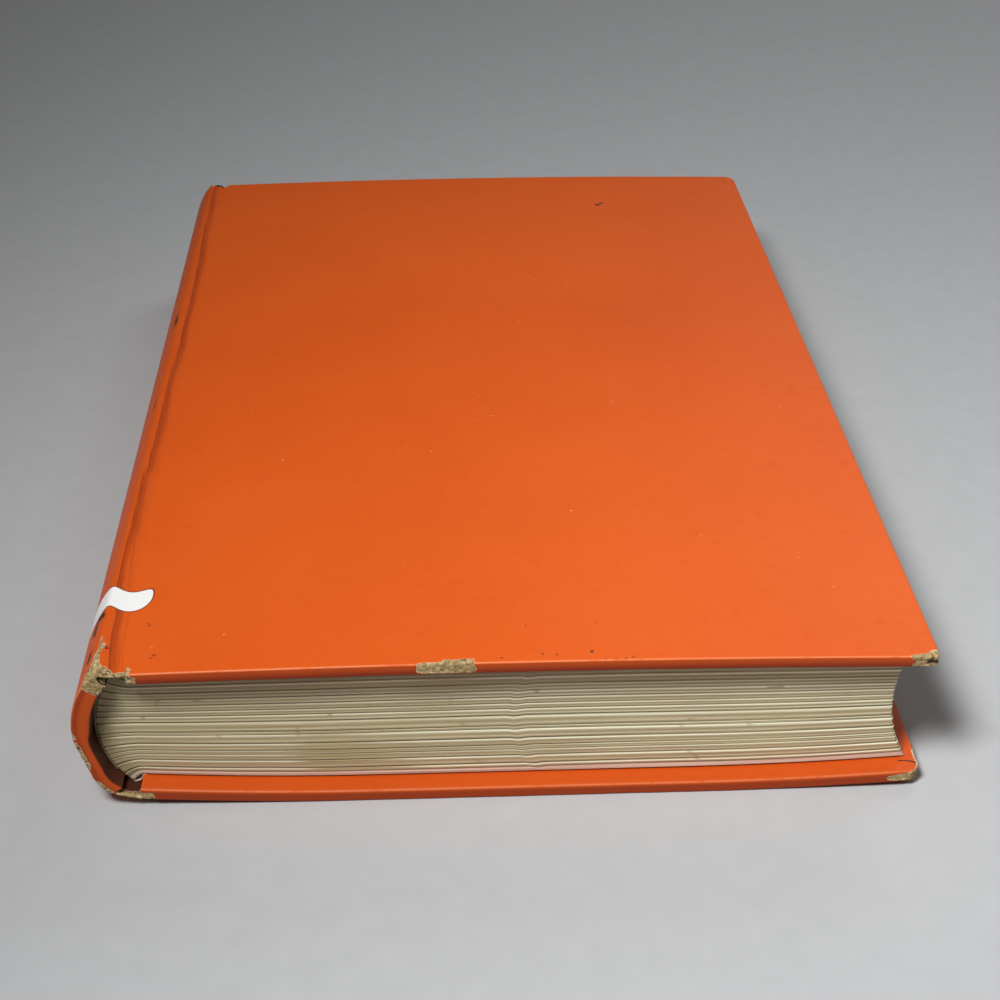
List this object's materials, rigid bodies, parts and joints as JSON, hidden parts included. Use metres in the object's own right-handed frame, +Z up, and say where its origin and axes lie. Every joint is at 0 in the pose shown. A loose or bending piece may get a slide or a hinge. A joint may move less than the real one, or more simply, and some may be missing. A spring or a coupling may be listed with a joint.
{
  "type": "hardback book",
  "caption": "Case-bound hardback book with sewn pages, a rounded spine and two hinged board covers in plain orange paper, lying closed.",
  "frame": {"origin": "middle of the closed book's footprint, on the surface that it lies on", "axes": "+Z up out of the front cover, +Y along the spine from tail to head, +X from spine to fore-edge"},
  "size_m": [0.1604, 0.235, 0.0325],
  "materials": {
    "page_paper": "aged uncoated book paper, cut edges",
    "endpaper": "smooth uncoated endpaper",
    "gauze": "open starched cotton gauze under glue",
    "lining_paper": "brown spine lining paper",
    "grey_board": "pressed binder's board",
    "orange_covering": "printed orange paper with a satin varnish, worn at the edges",
    "hinge_cloth": "gauze under endpaper"
  },
  "bodies": {
    "pages": {"page_block": "page_paper", "front_flyleaf": "endpaper", "back_flyleaf": "endpaper", "spine_gauze": "gauze", "spine_lining": "lining_paper", "spine_card": "grey_board", "spine_paper": "orange_covering", "front_joint_paper": "orange_covering", "back_joint_paper": "orange_covering", "front_hinge_lining": "hinge_cloth", "back_hinge_lining": "hinge_cloth"},
    "front_cover": {"front_board": "grey_board", "front_cover_paper": "orange_covering", "front_pastedown": "endpaper"},
    "back_cover": {"back_board": "grey_board", "back_cover_paper": "orange_covering", "back_pastedown": "endpaper"}
  },
  "joints": [
    {"name": "front_hinge", "type": "hinge", "parent": "pages", "child": "front_cover", "pos_m": [-0.07082, 0, 0.03218], "axis": [0, -1, 0], "range_deg": [0, 180], "deforming": ["front_joint_paper", "front_hinge_lining"]},
    {"name": "back_hinge", "type": "hinge", "parent": "pages", "child": "back_cover", "pos_m": [-0.07082, 0, 0.0018], "axis": [0, 1, 0], "range_deg": [0, 180], "deforming": ["back_joint_paper", "back_hinge_lining"]}
  ]
}
